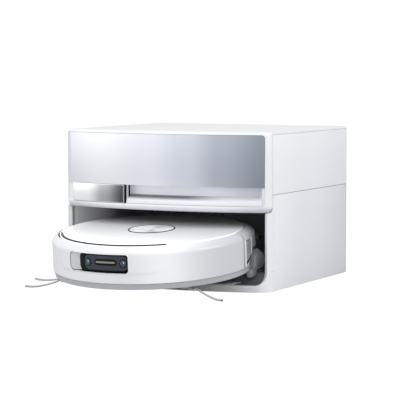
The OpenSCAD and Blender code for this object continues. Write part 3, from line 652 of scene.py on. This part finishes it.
# lower side walls, rear wall and the inlet's opening
for side, name in SIDES:
    wall = [(POST_S + 0.3, SEAM_Z - 0.3), (POST_S + 0.3, 0.4), (S3 - 0.2, 0.4), (S3 - 0.2, SEAM_Z - 0.3)]
    mesh = bent_plate("wall", mirrored(wall, side), 0, SIDE_WALL, dock_map, FRONT_CUTS, 0.5)
    shape(f"side_wall_{name}", mesh, lower_white, "dock", [f"{name}_side_shell"], 32)
inlet = brick("cut", (135.8, 180, 34.8), (164.2, 210, 53.2), 0)
rings = []
for s in round_back(S3 + 0.2):
    rings.append([dock_map(s, t, z) for t, z in wall_loop(0.4, SEAM_Z - 0.3, 8.0)])
rear = carve(from_rings("rear", rings), [inlet], "rear")
shape("rear_wall", rear, lower_white, "dock", ["rear_panel"], 32)

# front posts beside the block's lower end, mouth frame and lip
# the mouth's edge as a run
IN_S = S1 + CORNER_R * (math.asin((MOUTH_X - CORNER_X) / CORNER_R) - END_ANGLE)
beside = [(BLOCK_S + 0.4, SEAM_Z - 0.3)]
beside += arc(BLOCK_S - 7, CEILING_Z + 7, 7.4, 0, -80, 8)
beside += [(IN_S, CEILING_Z - 0.6)]
mouth = [(-s, z) for s, z in reversed(beside)] + [(0.2 - POST_S, SEAM_Z - 0.3)]
mouth += [(0.2 - POST_S, 0.0), (POST_S - 0.2, 0.0), (POST_S - 0.2, SEAM_Z - 0.3)] + beside
mouth += arc(IN_S - MOUTH_R, LIP_Z + MOUTH_R, MOUTH_R, 0, -90, 12)
mouth += arc(MOUTH_R - IN_S, LIP_Z + MOUTH_R, MOUTH_R, 270, 180, 12)
frame_cuts = marks(-POST_S, POST_S)
mouth_mesh = bent_plate("mouth", mouth, 0.0, 7.5, dock_map, frame_cuts, 5.5, 6,
                        keep=lambda p: abs(p.x) < IN_S + 1 and 4 < p.z < CEILING_Z - 1)
shape("mouth_frame", mouth_mesh, white, "dock", ["base_tray"], 32)


# walls and floor of the garage
def floor_height(y):
    return LIP_Z + (FLOOR_Z - LIP_Z) * min(1.0, max(0.0, (y - RAMP_Y) / RAMP_RUN))


def start_y(x):
    a = abs(x)
    if a <= CORNER_X * FRONT_R / (FRONT_R - CORNER_R):
        return ARC_Y - math.sqrt(FRONT_R ** 2 - a ** 2)
    return CORNER_Y - math.sqrt(CORNER_R ** 2 - (a - CORNER_X) ** 2)


path = [(GARAGE_X, z) for z in (CEILING_Z, 110, 80, 55)]
path += arc(GARAGE_X - GARAGE_R, LIP_Z + GARAGE_R, GARAGE_R, 0, -90, 12)
path += [(x, LIP_Z) for x in (150, 120, 90, 60, 30, 0)]
path += [(-x, z) for x, z in reversed(path[:-1])]
rings = []
# k is first a share of the way from the bowed mouth to the ramp's foot, then a straight cut's own y
for k in [0, 0.25, 0.5, 0.75, 1.0] + [RAMP_Y + q for q in (6, 12, 18, 24, 60, 110, 170, 230, 309.5)]:
    ring = []
    for x, z in path:
        y = (start_y(x) + 6.0) * (1 - k) + k * RAMP_Y if 0 <= k <= 1 else k
        ring.append(Vector((x, y, max(z, floor_height(y)))) * 0.001)
    rings.append(ring)
shape("garage_walls", from_rings("garage", rings, closed=False, caps=(False, False)), tunnel_shade_and_glow, "dock",
      sharp=40)
grip_section = ((3.6, -1), (4.2, 1.7), (5.6, 2.5), (40, 2.5), (43, -1))
grip = [[Vector((x, start_y(x) + d, LIP_Z + z)) * 0.001 for d, z in grip_section]
        for x in range(-140, 141, 5)]
shape("ramp_grip", from_rings("grip", grip), light_grey, "dock")
under = [[dock_map(s, 4.0, z) for s in marks(-S5, S5)[:-1]] for z in (0.3, 2.5)]
shape("underside", from_rings("under", under), light_grey, "dock")
seam_rings = []
for s in round_back(BLOCK_S - 1):
    seam_rings.append([dock_map(s, t, z) for t, z in
                       ((0.9, SEAM_Z - 2), (0.9, SEAM_Z + 2), (3, SEAM_Z + 2), (3, SEAM_Z - 2))])
shape("seam_shadow", from_rings("seam", seam_rings), seam_dark, "dock")

# grey strips behind the seam of each post and along a thin groove on it: painted shade in the gap and the groove
for side, name in SIDES:
    strip = [[dock_map(s * side, d, z) for z in (0.6, SEAM_Z - 1)] for s, d in
             ((POST_S - 1, 2.0), (POST_S - 1, 0.7), (POST_S + 1.3, 0.7), (POST_S + 1.3, 2.0))]
    shape(f"post_seam_{name}", from_rings("strip", strip), gap_shade_grey, "dock")
    line = [(IN_S + 5.5, 35.8), (POST_S - 0.2, 35.8), (POST_S - 0.2, 36.2), (IN_S + 5.5, 36.2)]
    hair = bent_plate("line", mirrored(line, side), -0.04, 0.3, dock_map, frame_cuts, 0)
    shape(f"post_line_{name}", hair, gap_shade_grey, "dock")

# ---------------------------------------------------------------- robot
LID_Z, LID_R = 74.0, 161.0
RIM_DROP, RIM_WIDE = 1.7, 4.0  # how far the lid's rim steps down in front, and over what width
skirt = [(160, 0.2)] + arc(170.6, 1.4, 1.2, 270, 360, 3) + [(172.6, 5.5), (174.2, 9.9), (160, 9.9)]
SKIRT_FROM, SKIRT_TO = -220, 108  # open beside the mop
shape("skirt_band", turned("skirt", skirt, SKIRT_FROM, SKIRT_TO), grey_trim, "robot", ["skirt_ring"],
      30)


def smooth(x):
    x = min(1.0, max(0.0, x))
    return x * x * (3 - 2 * x)


def bumper_profile(a):
    outer = [(174.1, 10.4), (174.8, 11.2), (175.0, 13), (175.0, 16), (175.0, 20), (175.0, 24), (175.0, 27),
             (175.0, 29), (175.0, 31), (175.0, 33), (175.0, 36), (175.0, 42), (175.0, 48), (175.0, 54),
             (175.0, 58), (174.9, 60.5), (174.5, 62.5), (173.6, 64.5), (171.8, 67.2), (169.6, 69.8),
             (167.4, 71.8), (166.0, 72.7), (165.0, 73.0), (164.4, 72.8), (164.2, 72.0)]
    side = smooth((a + 36.5) / 3.0) * smooth((33.0 - a) / 3.0)
    out = []
    for r, z in outer:
        corner = smooth((z - 26.5 - 4 * max(0, (abs(a + 1.7) - 27) / 6) ** 2) / 3.0)
        out.append((r + 0.9 * side * corner * (1 if z < 66 else max(0, (73 - z) / 7)), z))
    return out + [(164.5, 66), (171.5, 62), (171.8, 12), (171.8, 10.4)]


bumper = turned("bumper", bumper_profile, -92, 92, 1.0)
A_L, A_R = math.radians(-25) * ROBOT_R, math.radians(14.5) * ROBOT_R
robot_cuts = [ROBOT_R * math.radians(q) for q in range(-180, 181, 2)]
OPEN_R = [9, 6, 5, 9]  # corners of the camera's opening, from the low left one
opening = bent_plate("cut", rounded(A_L, 28.5, A_R, 60.5, OPEN_R), -4, 12, robot_map, robot_cuts, 0)
bumper = carve(bumper, [opening], "bumper")
shape("bumper_shell", bumper, robot_white, "bumper", ["bumper"], 28)


def disc(s, z, r, step):
    """Points round a circle on the wall, one every step degrees."""
    turns = [math.radians(q) for q in range(0, 360, step)]
    return [(s + r * math.cos(g), z + r * math.sin(g)) for g in turns]


# camera bay behind the opening
bay = bent_plate("bay", rounded(A_L - 3, 26, A_R + 3, 63, 8), 9.0, 12.0, robot_map, robot_cuts, 0)
shape("camera_bay", bay, black_gloss, "bumper", ["camera_housing"])
rings = []
for k in range(13):
    s, d = A_L + 0.3 + 20.0 * (k / 12), 0.8 + 8.2 * (k / 12) ** 1.5
    cut = OPEN_R[0] - math.sqrt(max(0, OPEN_R[0] ** 2 - max(0, OPEN_R[0] - (s - A_L)) ** 2))
    rings.append([robot_map(s, d, 28.9 + cut), robot_map(s, d, 45), robot_map(s, d, 60.1 - cut)])
shape("camera_bay_wall", from_rings("wall", rings, closed=False, caps=(False, False)), silver, "bumper")
rim_points = rounded(A_L + 0.05, 28.55, A_R - 0.05, 60.45, OPEN_R)
rings = [[robot_map(s, d, z) for s, z in rim_points] for d in (0.5, 3, 9.2)]
shape("camera_bay_rim", from_rings("rim", rings, caps=(False, False)), black_gloss, "bumper")
block_points = rounded(-57.5, 29.2, A_R - 0.4, 59.9, OPEN_R)
shape("camera_surround", bent_plate("surround", block_points, 6.8, 9.4, robot_map, robot_cuts, 0.8),
      black_gloss, "bumper")
plate_points = rounded(-43.5, 32.4, 41.5, 57.0, [9, 8, 8, 9])
shape("camera_plate", bent_plate("plate", plate_points, 5.2, 7.0, robot_map, robot_cuts, 0.9), slate,
      "bumper")
slot_points = rounded(-21.5, 40.6, 22.5, 51.4, 5)
shape("lamp_slot", bent_plate("slot", slot_points, 4.9, 5.4, robot_map, robot_cuts, 0.3), black_gloss,
      "bumper")
lamp_points = rounded(-18.5, 44.4, 19.3, 47.6, 1.5)
shape("lamp_strip", bent_plate("lamp", lamp_points, 4.6, 5.2, robot_map, robot_cuts, 0.3), lamp, "bumper",
      ["light_bar"])
LENS_Z = 45
for tag, degrees in (("left", -11.7), ("right", 11.3)):
    s = math.radians(degrees) * ROBOT_R
    for part, r, d0, finish in (("barrel", 7.2, 4.4, black_gloss), ("rim", 5.4, 4.2, lens_ring),
                                ("glass", 4.2, 4.0, lens_glass)):
        points = disc(s, LENS_Z, r, 12)
        shape(f"lens_{part}_{tag}", bent_plate(part, points, d0, d0 + 1.4, robot_map, [], 0.5), finish,
              "bumper", ["camera_lenses"] if part == "glass" and tag == "left" else ())
    points = disc(s + 1.0, LENS_Z + 1.2, 1.3, 20)
    shape(f"lens_glint_{tag}", bent_plate("glint", points, 3.9, 4.3, robot_map, [], 0.2), glint, "bumper")


# lid, its dark gap, and the button plate
def step_down(a):
    """How far the lid's rim is let down at an angle from the nose."""
    a = a - 360 if a > 180 else a
    return smooth((a + 68) / 8) * smooth((38.5 - a) / 3)


def lid_profile(a):
    drop, wide = RIM_DROP * step_down(a), RIM_WIDE * step_down(a)
    return ([(BUTTON_R + 2.0, 69.8), (LID_R - 0.4, 69.8), (LID_R, 70.4), (LID_R, LID_Z - 0.7 - drop),
             (LID_R - 0.3, LID_Z - 0.2 - drop), (LID_R - 0.9, LID_Z - drop), (LID_R - 2.1, LID_Z - drop),
             (LID_R - 2.2 - wide, LID_Z)]
            + [(120, LID_Z), (80, LID_Z), (BUTTON_R + 2.5, LID_Z), (BUTTON_R + 2.0, LID_Z - 0.5)])


def gap_profile(a):
    drop, wide = RIM_DROP * step_down(a), RIM_WIDE * step_down(a)
    return [(LID_R - 1.9, LID_Z - drop + 0.04), (LID_R - 2.3 - wide, LID_Z + 0.08),
            (LID_R - 2.6 - wide, LID_Z - 1.8), (LID_R - 1.9, LID_Z - 1.8 - drop)]


BUTTON_R = (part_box("button_plate")[1].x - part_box("button_plate")[0].x) * 500
shape("lid_disc", turned("lid", lid_profile), lid_white, "robot", ["top_lid"], 30)
shape("lid_gap", turned("gap", gap_profile, -70, 40, 1.0), black_gloss, "robot")
ring_profile = [(BUTTON_R + p, z) for p, z in
                ((0.25, 70.2), (1.9, 70.2), (1.9, 74.5), (1.5, 75.0), (0.8, 75.0), (0.25, 74.3))]
shape("button_ring_trim", turned("ring", ring_profile), black_gloss, "robot", ["button_ring"],
      30)
disc_profile = [(0.01, 71.2), (BUTTON_R - 0.4, 71.2), (BUTTON_R - 0.1, 71.6), (BUTTON_R - 0.1, 74.2),
                (BUTTON_R - 0.7, 74.7), (30, 74.5), (0.01, 74.3)]
shape("button_disc", turned("button", disc_profile), button_sheen, "button_plate", ["button_plate"],
      30)
dot_profile = [(0.01, 74.3), (1.0, 74.3), (1.0, 74.65), (0.01, 74.65)]
for x, name in ((-17, "left"), (17, "right")):
    dot = turned("mark", dot_profile, step=30, centre=(x, 0))
    shape(f"button_mark_{name}", dot, grey_trim, "button_plate")


# rear body shell with its two shoulders, open low down on the right for the mop
SHOULDERS, SHOULDER_OUT = (120.7, 239.3), 8.4  # angles from the nose, and how far they stand out


def shell_radius(a):
    off = min(abs(a - middle) for middle in SHOULDERS) / 17.0
    return ROBOT_R + (SHOULDER_OUT * math.cos(math.pi / 2 * off) ** 2 if off < 1 else 0.0)


def shell_low(a):
    return 10.6 + 27.5 * smooth((a - 99) / 13) * smooth((151 - a) / 8)


def shell_profile(a):
    r, low = shell_radius(a), shell_low(a)
    zs = [low + (58 - low) * k / 9 for k in range(10)]
    lean = (r - ROBOT_R) / SHOULDER_OUT
    out = [(r - 0.8, low)] + [(r - lean * 2.0 * smooth((z - 30) / 30), z) for z in zs[1:]]
    top = r - lean * 2.0
    out += [(top - 0.1, 60.5), (top - 0.6, 62.8), (top - 1.8, 65.2), (top - 4.2, 68.2), (top - 7.4, 70.8),
            (top - 10.4, 72.4), (top - 13.0 if top - 13 > 163 else 163.2, 73.3),
            (161.9, 73.6), (161.5, 73.0), (161.5, 69)]
    return out + [(r - 8, 62), (r - 4, 56), (r - 3.2, max(low, 12)), (r - 3.2, low)]


def at(*points):
    """Points given as (degrees from the nose, height), as runs along the robot's wall."""
    return [(math.radians(g) * ROBOT_R, z) for g, z in points]


shell = turned("shell", shell_profile, 93.15, 266.85, 1.0)
vent_right = at((94.6, 15.5), (106.2, 27.5), (105.4, 57.0), (94.6, 58.0))
tail = [brick("cut", (x - 8, 165, 26), (x + 8, 190, 34), 0, ON_RAMP) for x in (-30, 30)]
shell = carve(shell, tail, "shell")
shape("body_shell_skin", shell, robot_white, "robot", ["body_shell"], 28)
for side, name in SIDES:
    mesh = bent_plate("mesh", mirrored(vent_right, side), -0.8, 0.6, robot_map, robot_cuts, 0)
    shape(f"vent_mesh_{name}", mesh, vent_grey, "robot", ["vent_grilles"] if side > 0 else ())
    for k in range(8):
        z = 24 + k * 4.2
        low = max(94.9, 94.9 + (27.5 - z - 9) * 0.5)
        skew = 4 if k < 2 else 0
        bar = at((low, z), (105.2, z + skew), (105.2, z + 1.4 + skew), (low, z + 1.4))
        mesh = bent_plate("bar", mirrored(bar, side), -1.2, 0.2, robot_map, robot_cuts, 0.2)
        shape(f"vent_bar_{name}_{k}", mesh, grey_trim, "robot")
    slit = at((95.0, 15.9), (105.9, 28.0), (105.9, 31.2), (95.0, 19.4))
    mesh = bent_plate("slit", mirrored(slit, side), -1.25, 0.2, robot_map, robot_cuts, 0)
    shape(f"vent_slit_{name}", mesh, black_gloss, "robot")
    for lo, hi, z_lo, z_hi, tag in ((93.4, 94.5, 13.5, 15, "front"), (105.6, 106.9, 27, 28, "rear")):
        post = at((lo, z_lo), (hi, z_hi), (hi, 58.3), (lo, 58.8))
        mesh = bent_plate("post", mirrored(post, side), -1.9, 1.0, robot_map, robot_cuts, 0.4)
        shape(f"vent_post_{tag}_{name}", mesh, gloss_white, "robot")

# mop: arched cover with a rounded end over the fleece roller
MOP_Y, MOP_Z, MOP_R = 100.0, 9.0, 22.5
arch_rings = []
for x, r in ((-68, MOP_R), (60, MOP_R), (120, 22.0), (140, 19.5), (152, 18.8), (155, 18.0), (157, 16.0)):
    ring = arc(MOP_Y, MOP_Z + (MOP_R - r) * 0.3, r, -30, 210, 24)
    arch_rings.append([local(x, y, z) for y, z in ring])
cap = [(61, -14), (63, -17), (72, -17), (75.5, -6.5), (98, -6.5), (109, -5), (115, 1), (115, 12), (110, 20),
       (101, 24), (88, 24), (80, 20), (77, 12), (76.5, -2), (62, -2)]
rings = []
for x, k in ((150, 0.93), (151, 0.98), (154, 1.0), (160, 1.0), (162, 0.98), (163.2, 0.9), (163.6, 0.8)):
    rings.append([local(x, 99 + (y - 99) * k, 6 + (z - 6) * k) for y, z in cap])
shape("mop_end_cap", from_rings("cap", rings), cap_grey, "mop_carriage", sharp=55)
arch = from_rings("cover", arch_rings, closed=False, caps=(False, True))
cover = shape("mop_cover", arch, light_grey, "mop_carriage", ["mop_carriage"], 50)
thick = cover.modifiers.new("wall", "SOLIDIFY")
thick.thickness, thick.offset = 0.0015, -1.0


# side brushes: bundles of bristles that droop and curl out at the tips
def strand(name, points, radius):
    curve = bpy.data.curves.new(name, "CURVE")
    curve.dimensions = "3D"
    curve.bevel_depth = radius * 0.001
    curve.bevel_resolution = 2
    line = curve.splines.new("BEZIER")
    line.bezier_points.add(len(points) - 1)
    for bp, p in zip(line.bezier_points, points):
        bp.co = local(*p)
        bp.handle_left_type = bp.handle_right_type = "AUTO"
    holder = bpy.data.objects.new(name, curve)
    bpy.context.collection.objects.link(holder)
    view = bpy.context.evaluated_depsgraph_get()
    mesh = bpy.data.meshes.new_from_object(holder.evaluated_get(view))
    bpy.data.objects.remove(holder, do_unlink=True)
    return mesh


def brush(side, arms, tag):
    """Bristle bundles of one side brush; each arm is (angle, reach, tip height)."""
    cx, cy = side * 106.0, -88.0
    bm = bmesh.new()
    for angle, reach, tip in arms:
        g = math.radians(angle)
        for k in range(9):
            row, layer = (k % 3 - 1) * 0.9, (k // 3 - 1) * 0.85
            points = []
            for share, drop, spread in ((0.27, -5.0, 0.6), (0.45, 0.46, 0.8), (0.66, 0.86, 1.0),
                                        (0.85, 1.03, 1.15), (1.0, 0.98, 1.3)):
                z = drop if drop < 0 else -5 + (tip + 5) * drop
                side_step = row * spread + 2.2 * math.sin(math.pi * share)
                points.append((cx + reach * share * math.cos(g) - side_step * math.sin(g),
                               cy + reach * share * math.sin(g) + side_step * math.cos(g),
                               z + layer * spread * 0.9))
            bm.from_mesh(strand("strand", points, 0.8))
    mesh = bpy.data.meshes.new("bristles")
    bm.to_mesh(mesh)
    bm.free()
    shape(f"bristle_bundles_{tag}", mesh, bristle, f"side_brush_{tag}", [f"bristles_{tag}"], 60)


brush(1, ((-22, 94, -17.4), (158, 94, -17.4), (162, 88, -15)), "right")
brush(-1, ((194, 94, -17.4), (169, 97, -12.4), (14, 94, -17.4)), "left")

# ---------------------------------------------------------------- stage and light
bpy.ops.mesh.primitive_plane_add(size=60, location=(0, 0, -0.0002))
floor = bpy.context.object
floor.name = "floor"
floor_paint = material("floor_paint", (0.56, 0.56, 0.57), (0.54, 0.54, 0.55), 0.9, scale=2)
nodes, links = floor_paint.node_tree.nodes, floor_paint.node_tree.links
glow = nodes.new("ShaderNodeEmission")
seen = nodes.new("ShaderNodeLightPath")
blend = nodes.new("ShaderNodeMixShader")
links.new(seen.outputs["Is Camera Ray"], blend.inputs[0])
links.new(nodes["Principled BSDF"].outputs[0], blend.inputs[1])
links.new(glow.outputs[0], blend.inputs[2])
links.new(blend.outputs[0], nodes["Material Output"].inputs["Surface"])
floor.data.materials.append(floor_paint)


def area(name, location, aim, size, power):
    data = bpy.data.lights.new(name, "AREA")
    data.shape, data.size, data.size_y = "RECTANGLE", size[0], size[1]
    data.energy = power
    ob = bpy.data.objects.new(name, data)
    bpy.context.collection.objects.link(ob)
    ob.location = location
    ob.rotation_euler = (Vector(aim) - Vector(location)).to_track_quat("-Z", "Y").to_euler()
    return ob


area("front_high", (-0.9, -2.2, 2.4), (0, -0.3, 0.1), (1.6, 1.4), 13)
area("left_soft", (-2.6, -1.6, 0.9), (0, 0, 0.15), (1.6, 1.2), 3)
area("right_soft", (2.8, 0.1, 1.0), (0.2, 0, 0.15), (1.6, 1.2), 15)
area("nose_top", (0.0, -0.52, 1.55), (0, -0.36, 0.1), (0.6, 0.35), 1.8)

# a white surround, brighter in front than behind
world = bpy.data.worlds.new("world")
scene.world = world
world.use_nodes = True
nodes, links = world.node_tree.nodes, world.node_tree.links
sky = nodes["Background"]
place = nodes.new("ShaderNodeTexCoord")
split = nodes.new("ShaderNodeSeparateXYZ")
level = nodes.new("ShaderNodeMapRange")
level.inputs["From Min"].default_value, level.inputs["From Max"].default_value = -1.0, 1.0
level.inputs["To Min"].default_value, level.inputs["To Max"].default_value = 1.14, 0.72
seen = nodes.new("ShaderNodeLightPath")
pick = nodes.new("ShaderNodeMix")
pick.inputs[3].default_value = 1.0
links.new(place.outputs["Generated"], split.inputs[0])
links.new(split.outputs["Y"], level.inputs["Value"])
links.new(seen.outputs["Is Camera Ray"], pick.inputs[0])
links.new(level.outputs["Result"], pick.inputs[2])
links.new(pick.outputs[0], sky.inputs["Strength"])
sky.inputs["Color"].default_value = (1, 1, 1, 1)
scene.view_settings.view_transform = "Standard"
scene.view_settings.look = "None"
scene.view_settings.exposure = 0.1
